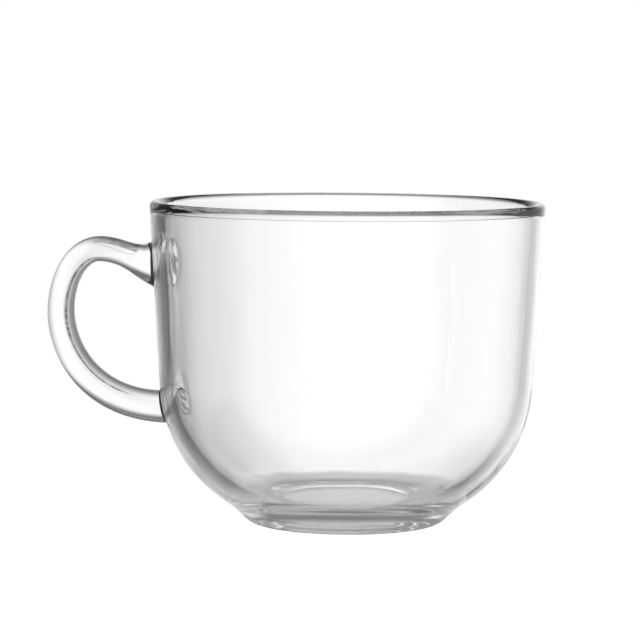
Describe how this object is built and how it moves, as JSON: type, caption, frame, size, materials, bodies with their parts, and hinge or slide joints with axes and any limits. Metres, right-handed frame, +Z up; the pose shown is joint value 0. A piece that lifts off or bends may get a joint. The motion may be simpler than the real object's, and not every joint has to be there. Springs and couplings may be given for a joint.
{
  "type": "glass coffee mug",
  "caption": "Clear glass coffee mug: a round-bellied bowl on a low foot, with a C-shaped handle fused to its side at an upper and a lower pad.",
  "frame": {"origin": "on the table, under the middle of the mug's outer box", "axes": "+Z up through the bowl's mouth, -X towards the handle, +Y across the handle"},
  "size_m": [0.137, 0.108, 0.0883],
  "materials": {
    "blown_glass": "clear soda-lime glass, blown and fire-polished",
    "pressed_glass": "clear soda-lime glass, pressed in a mould, with faint chill wrinkles"
  },
  "bodies": {
    "root": {"bowl": "blown_glass", "handle": "pressed_glass"}
  },
  "joints": []
}
